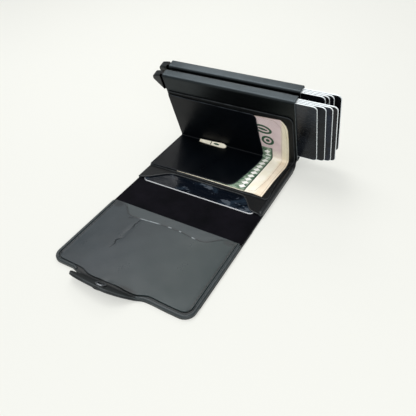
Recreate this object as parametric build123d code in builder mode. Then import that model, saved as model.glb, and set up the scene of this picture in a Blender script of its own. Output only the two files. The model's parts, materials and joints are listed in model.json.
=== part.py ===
from build123d import *
import os
from math import cos, radians, sin, sqrt

os.makedirs("parts", exist_ok=True)

# An open leather wallet with two aluminium card cases, millimetres.
# X runs along the folds, -Y points to the closing flap, Z is up.
# The origin is the middle of the base panel's underside, on the table.

# Leather panels
LENGTH = 102.0
BASE_DEPTH = 64.3
SPINE_WIDTH = 26.9
FLAP_DEPTH = 64.8
COVER_T = 1.4
LINING_T = 0.6
POCKET_T = 0.8
SLIP_GAP = 0.95
TRAY_T = 0.85
EDGE_INSET = 0.5
BORDER = 2.0
FOLD_Z = 1.0
FOLD_GAP = 1.0
SPINE_FOLD_GAP = 2.6
CREASE_GAP = 2.4
FLAP_CORNER_R = 7.0
COVER_CORNER_R = 3.5

# Slip pocket of the base panel and its card
SLIP_EDGE_LOW = 50.2
SLIP_EDGE_HIGH = 63.0
SLIP_DIP_LEFT = 26.5
SLIP_DIP_RIGHT = 28.4
SLIP_RIM = 2.0
SLIP_CARD_W = 90.0
SLIP_CARD_H = 53.98
SLIP_CARD_X = -0.6
SLIP_CARD_FRONT = 64.6
SLIP_CARD_LIFT = 0.1

# Flap pocket
FLAP_DIP = 9.0
FLAP_DIP_LEFT = 30.0
FLAP_DIP_RIGHT = 28.5
FLAP_WAVE_LEFT = 39.0
FLAP_WAVE_RIGHT = 44.0
FLAP_POCKET_START = 1.6

# Closing tab and its snap
TAB_ANGLE = 44.0
TAB_ROOT = 1.6
TAB_LENGTH = 10.8
TAB_T = 2.0
TAB_LEFT = 26.5
TAB_RIGHT = 17.5
TAB_TIP_LEFT = 24.5
TAB_TIP_RIGHT = 7.5
TAB_LEFT_R = 2.5
TAB_RIGHT_R = 5.0
SNAP_X = -6.0
SNAP_FROM_FOLD = 5.6
SNAP_SOCKET_R = 3.4
SNAP_SOCKET_T = 0.8
SNAP_HOLE_R = 2.1
SNAP_CAP_R = 4.2
SNAP_CAP_T = 0.6
STUD_DISC_R = 4.0
STUD_DISC_T = 0.5
STUD_POST_R = 1.7
STUD_POST_T = 0.9

# Banknote holder: trays, leaf and notes
TRAY_DEPTH = 48.4
TRAY_LEFT = 50.6
LOWER_TRAY_RIGHT = 47.4
UPPER_TRAY_RIGHT = 50.0
TRAY_CORNER_R = 5.0
SOFT_START = 3.5
LEAF_T = 0.6
LEAF_LIFT = 0.5
LEAF_DEPTH = 45.8
LEAF_RIGHT = 24.5
LEAF_CORNER_R = 5.0
NOTES_T = 0.4
NOTES_LIFT = 0.05
NOTES_DEPTH = 46.6
NOTES_LEFT = 26.5
NOTES_RIGHT = 45.4
NOTES_CORNER = 3.0

# Card cases
LEAN_ANGLE = 71.8
CASE_LENGTH = 103.2
CASE_TOP = 62.95
CASE_BOTTOM = 1.8
CASE_T = 7.8
CASE_WALL = 0.7
CASE_CORNER_R = 1.9
CASE_INNER_R = 0.3
CASE_DEPTHS = {"front": 1.0, "rear": 11.0}
INNER_FIT = 0.1
CASE_END_EDGE = 0.25

# The block turns about an axis this far in front of both tray faces.
HINGE_LIFT = 1.2

# Leather and tape of the case block
STRIP_T = 1.2
STRIP_END = 18.4
STRIP_HALF = 48.0
MIDDLE_T = 1.4
TAPE_T = 0.4
TRAY_TAPE_T = 0.15
TAPE_HALF_X = 44.0
TAPE_LOW = 8.0
TAPE_HIGH = 46.0
MIDDLE_TOP = 60.5

# Cards in the cases
CARD_W = 85.6
CARD_H = 53.98
CARD_T = 0.76
CARD_R = 3.18
CARD_BOTTOM = 7.57
CARD_PITCH = 1.25
CARD_START = 1.25
CARD_RIGHT_EDGES = {
    "front": [66.1, 71.5, 75.5, 78.4],
    "rear": [67.9, 70.2, 72.9, 77.4],
}

# Ejector lever
PIVOT_X = -47.0
PIVOT_UP = 8.6
PIN_R = 1.2
PIN_CLEARANCE = 0.05
HUB_R = 3.0
LEVER_T = 6.2
LEVER_TOP_R = 53.5
LEVER_LEFT = -49.4
LEVER_RIGHT = -39.5
LEVER_FOOT = 14.0
PAD_TIP_X = -64.0
PAD_ROOT_X = -52.4
PAD_ROOT_UP = 45.0
ARM_SHOULDER = 42.6
PAD_CORNER_R = 3.0
PAD_EDGE_R = 1.1
NECK_LEFT = -54.4
NECK_RIGHT = -51.0
NECK_CUT = 1.8
NOSE_X = -36.2
NOSE_HEIGHT = 7.0
NOSE_TOPS = [32.0, 40.0, 48.0, 56.0]
NOSE_MARGIN = 0.1
SPRING_RECESS_R = 2.4
SPRING_RECESS_T = 2.4
SPRING_R = 1.8
SPRING_WIRE_R = 0.25
SPRING_PITCH = 0.6
SPRING_TURNS = 3

# Plastic inserts inside each case
CAP_WALL = 1.3
CAP_TOP = 43.0
CAP_FOOT = 11.0
CAP_FOOT_T = 1.5
RAIL_LEFT = -33.0
RAIL_RIGHT = 50.6
RAIL_TOP = 7.3

# Heights and places worked out from the dimensions above
LINING_Z = COVER_T
SLIP_Z = COVER_T + LINING_T
SLIP_POCKET_Z = SLIP_Z + SLIP_GAP
TRAY_Z = SLIP_POCKET_Z + POCKET_T
CREASE_Z = TRAY_Z + TRAY_T
CREASE_Y = BASE_DEPTH / 2
SPINE_FOLD_Y = CREASE_Y - BASE_DEPTH
FLAP_FOLD_Y = SPINE_FOLD_Y - SPINE_WIDTH
FLAP_END_Y = FLAP_FOLD_Y - FLAP_DEPTH
TAB_FOLD_Y = FLAP_END_Y - TAB_ROOT
HALF = LENGTH / 2
CASE_LEFT = -CASE_LENGTH / 2
SLIP_MOUTH_W = 2 * (HALF - EDGE_INSET - SLIP_RIM)
SLIP_MOUTH_D = 2 * (SLIP_EDGE_HIGH - CREASE_GAP - SLIP_RIM)
LEAN_COS = cos(radians(LEAN_ANGLE))
LEAN_SIN = sin(radians(LEAN_ANGLE))
TAB_COS = cos(radians(TAB_ANGLE))
TAB_SIN = sin(radians(TAB_ANGLE))
# Depth of the stud on the bottom strip, where the closed tab brings its socket.
STUD_DEPTH = FOLD_Z + SPINE_WIDTH - SNAP_FROM_FOLD - CREASE_Z - 2 * HINGE_LIFT

# The case block's own plane: x along the crease, y up the leaning face, z to the flap.
BLOCK = Plane(origin=(0, CREASE_Y, CREASE_Z), x_dir=(1, 0, 0), z_dir=(0, -LEAN_SIN, -LEAN_COS))
# The tab's own plane: x along the fold, y out to the tab's edge, z to its outer face.
TAB = Plane(origin=(0, TAB_FOLD_Y, FOLD_Z), x_dir=(1, 0, 0), z_dir=(0, -TAB_SIN, -TAB_COS))


def block_plane(depth):
    """Plane parallel to the leaning face, depth behind it."""
    return BLOCK.offset(-depth)


def end_plane(x):
    """Plane across the cases at x: local x runs up the face, local y to the flap."""
    origin = (x, CREASE_Y, CREASE_Z)
    return Plane(origin=origin, x_dir=(0, -LEAN_COS, LEAN_SIN), z_dir=(1, 0, 0))


def block_point(x, up, depth):
    """Row-frame point at x, up the leaning face and depth behind it."""
    y = CREASE_Y - up * LEAN_COS + depth * LEAN_SIN
    z = CREASE_Z + up * LEAN_SIN + depth * LEAN_COS
    return (x, y, z)


def box_sketch(left, right, low, high):
    """Rectangle between the given limits in the current sketch."""
    with Locations(((left + right) / 2, (low + high) / 2)):
        Rectangle(right - left, high - low)


def wave_outline(left, right, far, low, high, dip_left, dip_right, wave_left, wave_right):
    """Panel outline whose near edge dips from high to low between the dip limits."""
    Polyline((left, high), (left, far), (right, far), (right, high))
    Line((left, high), (-wave_left, high))
    Spline((-wave_left, high), (-dip_left, low), tangents=((1, 0), (1, 0)))
    Line((-dip_left, low), (dip_right, low))
    Spline((dip_right, low), (wave_right, high), tangents=((1, 0), (1, 0)))
    Line((wave_right, high), (right, high))


# ---- Base panel: lies on the table ----

with BuildPart() as outer_cover_base:
    with BuildSketch(Plane.XY):
        box_sketch(-HALF, HALF, SPINE_FOLD_Y + FOLD_GAP, CREASE_Y - CREASE_GAP)
        fillet(vertices().group_by(Axis.Y)[-1], COVER_CORNER_R)
    extrude(amount=COVER_T)
outer_cover_base.part.label = "outer_cover_base"
export_step(outer_cover_base.part, "parts/outer_cover_base.step")

with BuildPart() as base_lining:
    with BuildSketch(Plane.XY.offset(LINING_Z)):
        box_sketch(-HALF + EDGE_INSET, HALF - EDGE_INSET, SPINE_FOLD_Y + FOLD_GAP, CREASE_Y - CREASE_GAP)
        fillet(vertices().group_by(Axis.Y)[-1], COVER_CORNER_R)
    extrude(amount=LINING_T)
base_lining.part.label = "base_lining"
export_step(base_lining.part, "parts/base_lining.step")

with BuildPart() as slip_pocket:
    with BuildSketch(Plane.XY.offset(SLIP_POCKET_Z)):
        with BuildLine():
            wave_outline(
                -HALF + EDGE_INSET,
                HALF - EDGE_INSET,
                CREASE_Y - CREASE_GAP,
                CREASE_Y - SLIP_EDGE_LOW,
                CREASE_Y - SLIP_EDGE_HIGH,
                SLIP_DIP_LEFT,
                SLIP_DIP_RIGHT,
                HALF - EDGE_INSET - BORDER,
                HALF - EDGE_INSET - BORDER,
            )
        make_face()
        fillet(vertices().group_by(Axis.Y)[-1], COVER_CORNER_R)
    extrude(amount=POCKET_T)
slip_pocket.part.label = "slip_pocket"
export_step(slip_pocket.part, "parts/slip_pocket.step")

# The welt closes the slip pocket on three sides and leaves it open towards the spine.
with BuildPart() as slip_welt:
    with BuildSketch(Plane.XY.offset(SLIP_Z)):
        box_sketch(-HALF + EDGE_INSET, HALF - EDGE_INSET, CREASE_Y - SLIP_EDGE_HIGH, CREASE_Y - CREASE_GAP)
        fillet(vertices().group_by(Axis.Y)[-1], COVER_CORNER_R)
        with Locations((0, CREASE_Y - SLIP_EDGE_HIGH)):
            Rectangle(SLIP_MOUTH_W, SLIP_MOUTH_D, mode=Mode.SUBTRACT)
    extrude(amount=SLIP_GAP)
slip_welt.part.label = "slip_welt"
export_step(slip_welt.part, "parts/slip_welt.step")

with BuildPart() as slip_card:
    with BuildSketch(Plane.XY.offset(SLIP_Z + SLIP_CARD_LIFT)):
        with Locations((SLIP_CARD_X, CREASE_Y - SLIP_CARD_FRONT + SLIP_CARD_H / 2)):
            RectangleRounded(SLIP_CARD_W, SLIP_CARD_H, CARD_R)
    extrude(amount=CARD_T)
slip_card.part.label = "slip_card"
export_step(slip_card.part, "parts/slip_card.step")

with BuildPart() as tray_lower:
    with BuildSketch(Plane.XY.offset(TRAY_Z)):
        box_sketch(-TRAY_LEFT, LOWER_TRAY_RIGHT, CREASE_Y - TRAY_DEPTH, CREASE_Y - CREASE_GAP)
        fillet(vertices().group_by(Axis.Y)[0].sort_by(Axis.X)[-1:], TRAY_CORNER_R)
    extrude(amount=TRAY_T)
tray_lower.part.label = "tray_lower"
export_step(tray_lower.part, "parts/tray_lower.step")

with BuildPart() as notes_lower:
    with BuildSketch(Plane.XY.offset(CREASE_Z + NOTES_LIFT)):
        box_sketch(-NOTES_LEFT, NOTES_RIGHT, CREASE_Y - NOTES_DEPTH, CREASE_Y - SOFT_START)
    extrude(amount=NOTES_T)
notes_lower.part.label = "notes_lower"
export_step(notes_lower.part, "parts/notes_lower.step")

with BuildPart() as leaf_lower:
    with BuildSketch(Plane.XY.offset(CREASE_Z + LEAF_LIFT)):
        box_sketch(-TRAY_LEFT, LEAF_RIGHT, CREASE_Y - LEAF_DEPTH, CREASE_Y - SOFT_START)
        fillet(vertices().group_by(Axis.Y)[0].sort_by(Axis.X)[-1:], LEAF_CORNER_R)
    extrude(amount=LEAF_T)
leaf_lower.part.label = "leaf_lower"
export_step(leaf_lower.part, "parts/leaf_lower.step")

# ---- Spine ----

with BuildPart() as outer_cover_spine:
    with BuildSketch(Plane.XY):
        box_sketch(-HALF, HALF, FLAP_FOLD_Y + SPINE_FOLD_GAP, SPINE_FOLD_Y - SPINE_FOLD_GAP)
    extrude(amount=COVER_T)
outer_cover_spine.part.label = "outer_cover_spine"
export_step(outer_cover_spine.part, "parts/outer_cover_spine.step")

with BuildPart() as spine_lining:
    with BuildSketch(Plane.XY.offset(LINING_Z)):
        box_sketch(
            -HALF + EDGE_INSET,
            HALF - EDGE_INSET,
            FLAP_FOLD_Y + SPINE_FOLD_GAP,
            SPINE_FOLD_Y - SPINE_FOLD_GAP,
        )
    extrude(amount=LINING_T)
spine_lining.part.label = "spine_lining"
export_step(spine_lining.part, "parts/spine_lining.step")

# ---- Flap ----

with BuildPart() as outer_cover_flap:
    with BuildSketch(Plane.XY):
        box_sketch(-HALF, HALF, FLAP_END_Y, FLAP_FOLD_Y - FLAP_POCKET_START)
        fillet(vertices().group_by(Axis.Y)[0], FLAP_CORNER_R)
    extrude(amount=COVER_T)
outer_cover_flap.part.label = "outer_cover_flap"
export_step(outer_cover_flap.part, "parts/outer_cover_flap.step")

with BuildPart() as flap_lining:
    with BuildSketch(Plane.XY.offset(LINING_Z)):
        box_sketch(-HALF + BORDER, HALF - BORDER, FLAP_END_Y + BORDER, FLAP_FOLD_Y - FLAP_POCKET_START)
        fillet(vertices().group_by(Axis.Y)[0], FLAP_CORNER_R - BORDER)
    extrude(amount=LINING_T)
flap_lining.part.label = "flap_lining"
export_step(flap_lining.part, "parts/flap_lining.step")

with BuildPart() as flap_pocket:
    with BuildSketch(Plane.XY.offset(SLIP_Z)):
        with BuildLine():
            wave_outline(
                -HALF + BORDER,
                HALF - BORDER,
                FLAP_END_Y + BORDER,
                FLAP_FOLD_Y - FLAP_DIP,
                FLAP_FOLD_Y - FLAP_POCKET_START,
                FLAP_DIP_LEFT,
                FLAP_DIP_RIGHT,
                FLAP_WAVE_LEFT,
                FLAP_WAVE_RIGHT,
            )
        make_face()
        fillet(vertices().group_by(Axis.Y)[0], FLAP_CORNER_R - BORDER)
    extrude(amount=POCKET_T)
flap_pocket.part.label = "flap_pocket"
export_step(flap_pocket.part, "parts/flap_pocket.step")

# ---- Closing tab with the snap's socket and cap ----

with BuildPart() as closing_tab:
    with BuildSketch(TAB.offset(-TAB_T / 2)):
        with BuildLine():
            Polyline(
                (-TAB_LEFT, TAB_ROOT),
                (TAB_RIGHT, TAB_ROOT),
                (TAB_TIP_RIGHT, TAB_LENGTH),
                (-TAB_TIP_LEFT, TAB_LENGTH),
                close=True,
            )
        make_face()
        fillet(vertices().group_by(Axis.Y)[-1].sort_by(Axis.X)[:1], TAB_LEFT_R)
        fillet(vertices().group_by(Axis.Y)[-1].sort_by(Axis.X)[-1:], TAB_RIGHT_R)
    extrude(amount=TAB_T)
    with BuildSketch(TAB.offset(-TAB_T / 2)):
        with Locations((SNAP_X, SNAP_FROM_FOLD)):
            Circle(SNAP_HOLE_R)
    extrude(amount=TAB_T, mode=Mode.SUBTRACT)
closing_tab.part.label = "closing_tab"
export_step(closing_tab.part, "parts/closing_tab.step")

with BuildPart() as snap_socket:
    with BuildSketch(TAB.offset(-TAB_T / 2)):
        with Locations((SNAP_X, SNAP_FROM_FOLD)):
            Circle(SNAP_SOCKET_R)
            Circle(SNAP_HOLE_R, mode=Mode.SUBTRACT)
    extrude(amount=-SNAP_SOCKET_T)
    fillet(edges().group_by(SortBy.LENGTH)[-1].sort_by(Axis.Z)[-1:], SNAP_SOCKET_T / 3)
snap_socket.part.label = "snap_socket"
export_step(snap_socket.part, "parts/snap_socket.step")

with BuildPart() as snap_cap:
    with BuildSketch(TAB.offset(TAB_T / 2)):
        with Locations((SNAP_X, SNAP_FROM_FOLD)):
            Circle(SNAP_CAP_R)
    extrude(amount=SNAP_CAP_T)
    fillet(edges().sort_by(Axis.Z)[:1], SNAP_CAP_T / 2)
    with BuildSketch(TAB.offset(TAB_T / 2)):
        with Locations((SNAP_X, SNAP_FROM_FOLD)):
            Circle(SNAP_HOLE_R)
    extrude(amount=-TAB_T)
snap_cap.part.label = "snap_cap"
export_step(snap_cap.part, "parts/snap_cap.step")

# ---- Leather of the case block ----

with BuildPart() as tray_upper:
    with BuildSketch(block_plane(0)):
        box_sketch(-TRAY_LEFT, UPPER_TRAY_RIGHT, CREASE_GAP, TRAY_DEPTH)
        fillet(vertices().group_by(Axis.Y)[-1].sort_by(Axis.X)[-1:], TRAY_CORNER_R)
    extrude(amount=-TRAY_T)
tray_upper.part.label = "tray_upper"
export_step(tray_upper.part, "parts/tray_upper.step")

with BuildPart() as notes_upper:
    with BuildSketch(block_plane(-NOTES_LIFT)):
        box_sketch(-NOTES_LEFT, NOTES_RIGHT, SOFT_START, NOTES_DEPTH)
        chamfer(vertices().group_by(Axis.Y)[-1].sort_by(Axis.X)[-1:], NOTES_CORNER)
    extrude(amount=NOTES_T)
notes_upper.part.label = "notes_upper"
export_step(notes_upper.part, "parts/notes_upper.step")

with BuildPart() as leaf_upper:
    with BuildSketch(block_plane(-LEAF_LIFT)):
        box_sketch(-TRAY_LEFT, LEAF_RIGHT, SOFT_START, LEAF_DEPTH)
        fillet(vertices().group_by(Axis.Y)[-1].sort_by(Axis.X)[-1:], LEAF_CORNER_R)
    extrude(amount=LEAF_T)
leaf_upper.part.label = "leaf_upper"
export_step(leaf_upper.part, "parts/leaf_upper.step")

with BuildPart() as bottom_strip:
    with BuildSketch(end_plane(-STRIP_HALF)):
        box_sketch(CASE_BOTTOM - STRIP_T, CASE_BOTTOM, -STRIP_END, 0)
    extrude(amount=2 * STRIP_HALF)
bottom_strip.part.label = "bottom_strip"
export_step(bottom_strip.part, "parts/bottom_strip.step")


def stud_plane():
    """Plane on the bottom strip's outer face at the stud, facing away from the cases."""
    origin = block_point(SNAP_X, CASE_BOTTOM - STRIP_T, STUD_DEPTH)
    return Plane(origin=origin, x_dir=(1, 0, 0), z_dir=(0, LEAN_COS, -LEAN_SIN))


with BuildPart() as snap_stud:
    with BuildSketch(stud_plane()):
        Circle(STUD_DISC_R)
    extrude(amount=STUD_DISC_T)
    with BuildSketch(stud_plane().offset(STUD_DISC_T)):
        Circle(STUD_POST_R)
    extrude(amount=STUD_POST_T)
snap_stud.part.label = "snap_stud"
export_step(snap_stud.part, "parts/snap_stud.step")

MIDDLE_DEPTH = CASE_DEPTHS["front"] + CASE_T + TAPE_T

with BuildPart() as middle_panel:
    with BuildSketch(block_plane(MIDDLE_DEPTH)):
        box_sketch(-STRIP_HALF, STRIP_HALF, CASE_BOTTOM, MIDDLE_TOP)
        fillet(vertices().group_by(Axis.Y)[-1], COVER_CORNER_R)
    extrude(amount=-MIDDLE_T)
middle_panel.part.label = "middle_panel"
export_step(middle_panel.part, "parts/middle_panel.step")

TAPES = {
    "tray_tape": (TRAY_T, TRAY_TAPE_T, TAPE_HIGH),
    "front_case_tape": (MIDDLE_DEPTH - TAPE_T, TAPE_T, TAPE_HIGH),
    "rear_case_tape": (MIDDLE_DEPTH + MIDDLE_T, TAPE_T, TAPE_HIGH),
}
for tape_name, (depth, thickness, top) in TAPES.items():
    with BuildPart() as tape:
        with BuildSketch(block_plane(depth)):
            box_sketch(-TAPE_HALF_X, TAPE_HALF_X, TAPE_LOW, top)
        extrude(amount=-thickness)
    tape.part.label = tape_name
    export_step(tape.part, f"parts/{tape_name}.step")

# ---- The two card cases, front and rear ----

CASE_MIDDLE_UP = (CASE_TOP + CASE_BOTTOM) / 2
CASE_HEIGHT = CASE_TOP - CASE_BOTTOM
INNER_T = CASE_T - 2 * CASE_WALL
INNER_HEIGHT = CASE_HEIGHT - 2 * CASE_WALL
INNER_BOTTOM = CASE_BOTTOM + CASE_WALL + INNER_FIT
INSERT_T = INNER_T - 2 * INNER_FIT
INSERT_LEFT = CASE_LEFT + INNER_FIT

# Outer and inner ends of the lever's top arc, which is centred on the pivot.
PAD_TIP_UP = PIVOT_UP + sqrt(LEVER_TOP_R**2 - (PAD_TIP_X - PIVOT_X) ** 2)
INNER_ARC_UP = PIVOT_UP + sqrt(LEVER_TOP_R**2 - (LEVER_RIGHT - PIVOT_X) ** 2)

for side, case_depth in CASE_DEPTHS.items():
    middle = case_depth + CASE_T / 2

    with BuildPart() as case_tube:
        with BuildSketch(end_plane(CASE_LEFT)):
            with Locations((CASE_MIDDLE_UP, -middle)):
                RectangleRounded(CASE_HEIGHT, CASE_T, CASE_CORNER_R)
                RectangleRounded(INNER_HEIGHT, INNER_T, CASE_INNER_R, mode=Mode.SUBTRACT)
        extrude(amount=CASE_LENGTH)
        case_ends = faces().sort_by(Axis.X)
        end_edges = case_ends[0].outer_wire().edges() + case_ends[-1].outer_wire().edges()
        chamfer(end_edges, CASE_END_EDGE)
        with BuildSketch(block_plane(case_depth)):
            with Locations((PIVOT_X, PIVOT_UP)):
                Circle(PIN_R)
        extrude(amount=-CASE_T, mode=Mode.SUBTRACT)
    case_tube.part.label = f"{side}_case"
    export_step(case_tube.part, f"parts/{side}_case.step")

    with BuildPart() as lever_pin:
        with BuildSketch(block_plane(case_depth)):
            with Locations((PIVOT_X, PIVOT_UP)):
                Circle(PIN_R)
        extrude(amount=-CASE_T)
    lever_pin.part.label = f"{side}_lever_pin"
    export_step(lever_pin.part, f"parts/{side}_lever_pin.step")

    with BuildPart() as end_cap:
        with BuildSketch(block_plane(middle - INSERT_T / 2)):
            box_sketch(INSERT_LEFT, INSERT_LEFT + CAP_WALL, INNER_BOTTOM, CAP_TOP)
            box_sketch(INSERT_LEFT, INSERT_LEFT + CAP_FOOT, INNER_BOTTOM, INNER_BOTTOM + CAP_FOOT_T)
        extrude(amount=-INSERT_T)
    end_cap.part.label = f"{side}_end_cap"
    export_step(end_cap.part, f"parts/{side}_end_cap.step")

    with BuildPart() as guide_rail:
        with BuildSketch(block_plane(middle - INSERT_T / 2)):
            box_sketch(RAIL_LEFT, RAIL_RIGHT, INNER_BOTTOM, RAIL_TOP)
        extrude(amount=-INSERT_T)
    guide_rail.part.label = f"{side}_guide_rail"
    export_step(guide_rail.part, f"parts/{side}_guide_rail.step")

    with BuildPart() as lever:
        lever_front = middle - LEVER_T / 2
        with BuildSketch(block_plane(lever_front)):
            with BuildLine():
                Polyline(
                    (LEVER_RIGHT, INNER_ARC_UP),
                    (LEVER_RIGHT, LEVER_FOOT),
                    (PIVOT_X + HUB_R, PIVOT_UP),
                )
                ThreePointArc(
                    (PIVOT_X + HUB_R, PIVOT_UP),
                    (PIVOT_X, PIVOT_UP - HUB_R),
                    (PIVOT_X - HUB_R, PIVOT_UP),
                )
                Polyline(
                    (PIVOT_X - HUB_R, PIVOT_UP),
                    (LEVER_LEFT, LEVER_FOOT),
                    (LEVER_LEFT, ARM_SHOULDER),
                    (PAD_ROOT_X, PAD_ROOT_UP),
                    (PAD_TIP_X, PAD_TIP_UP),
                )
                RadiusArc((PAD_TIP_X, PAD_TIP_UP), (LEVER_RIGHT, INNER_ARC_UP), LEVER_TOP_R)
            make_face()
            fillet(vertices().sort_by(Axis.X)[:1], PAD_CORNER_R)
        extrude(amount=-LEVER_T)
        for cut_depth in (lever_front, lever_front + LEVER_T - NECK_CUT):
            with BuildSketch(block_plane(cut_depth)):
                box_sketch(NECK_LEFT, NECK_RIGHT, ARM_SHOULDER, CASE_TOP)
            extrude(amount=-NECK_CUT, mode=Mode.SUBTRACT)
        depth_axis = Axis((0, 0, 0), (0, LEAN_SIN, LEAN_COS))
        pad_edges = edges().filter_by(lambda edge: edge.center().X < NECK_LEFT - NECK_CUT / 2)
        fillet(pad_edges.filter_by(depth_axis, reverse=True), PAD_EDGE_R)
        for card_index, nose_top in enumerate(NOSE_TOPS):
            nose_depth = case_depth + CARD_START + CARD_PITCH * card_index - NOSE_MARGIN
            with BuildSketch(block_plane(nose_depth)):
                box_sketch(LEVER_RIGHT, NOSE_X, nose_top - NOSE_HEIGHT, nose_top)
            extrude(amount=-(CARD_T + 2 * NOSE_MARGIN))
        with BuildSketch(block_plane(lever_front)):
            with Locations((PIVOT_X, PIVOT_UP)):
                Circle(PIN_R + PIN_CLEARANCE)
        extrude(amount=-LEVER_T, mode=Mode.SUBTRACT)
        with BuildSketch(block_plane(lever_front)):
            with Locations((PIVOT_X, PIVOT_UP)):
                Circle(SPRING_RECESS_R)
        extrude(amount=-SPRING_RECESS_T, mode=Mode.SUBTRACT)
    lever.part.label = f"{side}_lever"
    export_step(lever.part, f"parts/{side}_lever.step")

    with BuildPart() as lever_spring:
        with BuildLine() as coil:
            Helix(
                pitch=SPRING_PITCH,
                height=SPRING_PITCH * SPRING_TURNS,
                radius=SPRING_R,
                center=block_point(PIVOT_X, PIVOT_UP, lever_front + SPRING_WIRE_R),
                direction=(0, LEAN_SIN, LEAN_COS),
            )
        with BuildSketch(Plane(origin=coil.line @ 0, z_dir=coil.line % 0)):
            Circle(SPRING_WIRE_R)
        sweep(is_frenet=True)
    lever_spring.part.label = f"{side}_lever_spring"
    export_step(lever_spring.part, f"parts/{side}_lever_spring.step")

    for card_index, right_edge in enumerate(CARD_RIGHT_EDGES[side]):
        card_name = f"{side}_card_{card_index + 1}"
        card_depth = case_depth + CARD_START + CARD_PITCH * card_index
        with BuildPart() as card:
            with BuildSketch(block_plane(card_depth)):
                with Locations((right_edge - CARD_W / 2, CARD_BOTTOM + CARD_H / 2)):
                    RectangleRounded(CARD_W, CARD_H, CARD_R)
            extrude(amount=-CARD_T)
        card.part.label = card_name
        export_step(card.part, f"parts/{card_name}.step")
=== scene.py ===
import json
import math
import random

import bmesh
import bpy
import numpy as np
from mathutils import Matrix, Vector
from mathutils.geometry import delaunay_2d_cdt


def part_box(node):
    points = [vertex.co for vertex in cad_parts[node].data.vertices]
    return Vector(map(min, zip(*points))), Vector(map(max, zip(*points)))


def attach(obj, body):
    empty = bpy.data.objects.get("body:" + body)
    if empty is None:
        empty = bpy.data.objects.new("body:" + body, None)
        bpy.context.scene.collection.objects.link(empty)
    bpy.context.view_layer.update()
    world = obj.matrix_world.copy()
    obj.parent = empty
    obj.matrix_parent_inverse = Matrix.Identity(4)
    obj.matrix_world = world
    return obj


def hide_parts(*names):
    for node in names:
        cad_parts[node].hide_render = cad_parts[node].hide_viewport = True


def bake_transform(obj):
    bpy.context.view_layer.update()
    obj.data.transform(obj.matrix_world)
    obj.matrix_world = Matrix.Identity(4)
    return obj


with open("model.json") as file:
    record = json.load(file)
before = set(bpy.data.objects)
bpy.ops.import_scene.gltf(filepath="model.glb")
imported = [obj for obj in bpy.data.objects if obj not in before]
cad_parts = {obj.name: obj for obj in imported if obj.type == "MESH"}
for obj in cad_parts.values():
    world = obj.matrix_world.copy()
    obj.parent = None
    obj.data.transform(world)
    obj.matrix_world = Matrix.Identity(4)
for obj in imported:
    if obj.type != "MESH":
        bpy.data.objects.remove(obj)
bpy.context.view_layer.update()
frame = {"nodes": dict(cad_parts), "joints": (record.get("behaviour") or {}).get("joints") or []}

# The pieces are laid out in millimetres in the wallet's own directions and placed in metres.
# x runs along the folds, v from the crease to the closing tab, s up the leaning face,
# and h is the height above a sheet's reference face.
MM = 0.001
random.seed(7)


def joint(name):
    return next(j for j in frame["joints"] if j["name"] == name)


def top_of(node):
    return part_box(node)[1] / MM


LEAN_AXIS = Vector(joint("front_lever_press")["axis"]).normalized()
LEAN_SIN, LEAN_COS = LEAN_AXIS.y, LEAN_AXIS.z
LEAN = math.atan2(LEAN_SIN, LEAN_COS)
UP_FACE = (0, -LEAN_COS, LEAN_SIN)
CASE_FOLD = Vector(joint("case_fold")["pos_m"]) / MM
TRAY_Z = top_of("tray_lower").z
CREASE_Y = CASE_FOLD.y + (CASE_FOLD.z - TRAY_Z) / math.tan(LEAN / 2)
SPINE_V, FLAP_V, TAB_V = (
    CREASE_Y - joint(fold)["pos_m"][1] / MM for fold in ("spine_fold", "flap_fold", "tab_fold")
)
HALF = top_of("outer_cover_base").x
BASE_BACK = CREASE_Y - top_of("outer_cover_base").y
COVER_T = top_of("outer_cover_base").z
LINING_T = top_of("base_lining").z
SLIP_TOP = top_of("slip_pocket").z
SLIP_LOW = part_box("slip_pocket")[0].z / MM
FLAP_TOP = top_of("flap_pocket").z
MID_SPINE = (SPINE_V + FLAP_V) / 2

# Soft bends: the crease between both trays and the root of the closing tab
CREASE_R = 2.0
CREASE_TURN = math.pi - LEAN
TAB_R = 4.0
TAB_LIFT = math.radians(44.0)
TAB_START = TAB_V - TAB_R * math.tan(TAB_LIFT / 2)
TAB_ARC = TAB_R * TAB_LIFT


def flat(x, v, h):
    """On the table, v from the crease; past the tab's root the sheet bends up."""
    over = v - TAB_START
    if over <= 0:
        return Vector((x, CREASE_Y - v, h)) * MM
    turn = min(over / TAB_R, TAB_LIFT)
    rest = max(over - TAB_ARC, 0.0)
    r = TAB_R - (h - 1)
    y = TAB_START + r * math.sin(turn) + rest * math.cos(turn)
    z = 1 + TAB_R - r * math.cos(turn) + rest * math.sin(turn)
    return Vector((x, CREASE_Y - y, z)) * MM


def block(x, s, h):
    """On the leaning face: s up the face, h out of it."""
    y = CREASE_Y - s * LEAN_COS - h * LEAN_SIN
    z = TRAY_Z + s * LEAN_SIN - h * LEAN_COS
    return Vector((x, y, z)) * MM


def crease(x, s, h, radius=CREASE_R):
    """Over the crease: the lower tray where s is negative, the leaning face where it is positive."""
    reach = radius * math.tan(CREASE_TURN / 2)
    if s <= -reach:
        return Vector((x, CREASE_Y + s, TRAY_Z + h)) * MM
    if s >= reach:
        return block(x, s, h)
    turn = CREASE_TURN * (s + reach) / (2 * reach)
    r = radius - h
    y = CREASE_Y - reach + r * math.sin(turn)
    z = TRAY_Z + radius - r * math.cos(turn)
    return Vector((x, y, z)) * MM


def bridge(x, s, h):
    """Across the crease in a wide bend, for the note that bulges out of the slot."""
    return crease(x, s, h, 4.5)


def placed(name, data):
    o = bpy.data.objects.new(name, data)
    bpy.context.scene.collection.objects.link(o)
    return o


# ---- Outlines ----


def arc(cx, cv, r, start, end, count=6):
    """Points on an arc, angles in degrees."""
    angles = [math.radians(start + (end - start) * i / count) for i in range(count + 1)]
    return [(cx + r * math.cos(a), cv + r * math.sin(a)) for a in angles]


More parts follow.
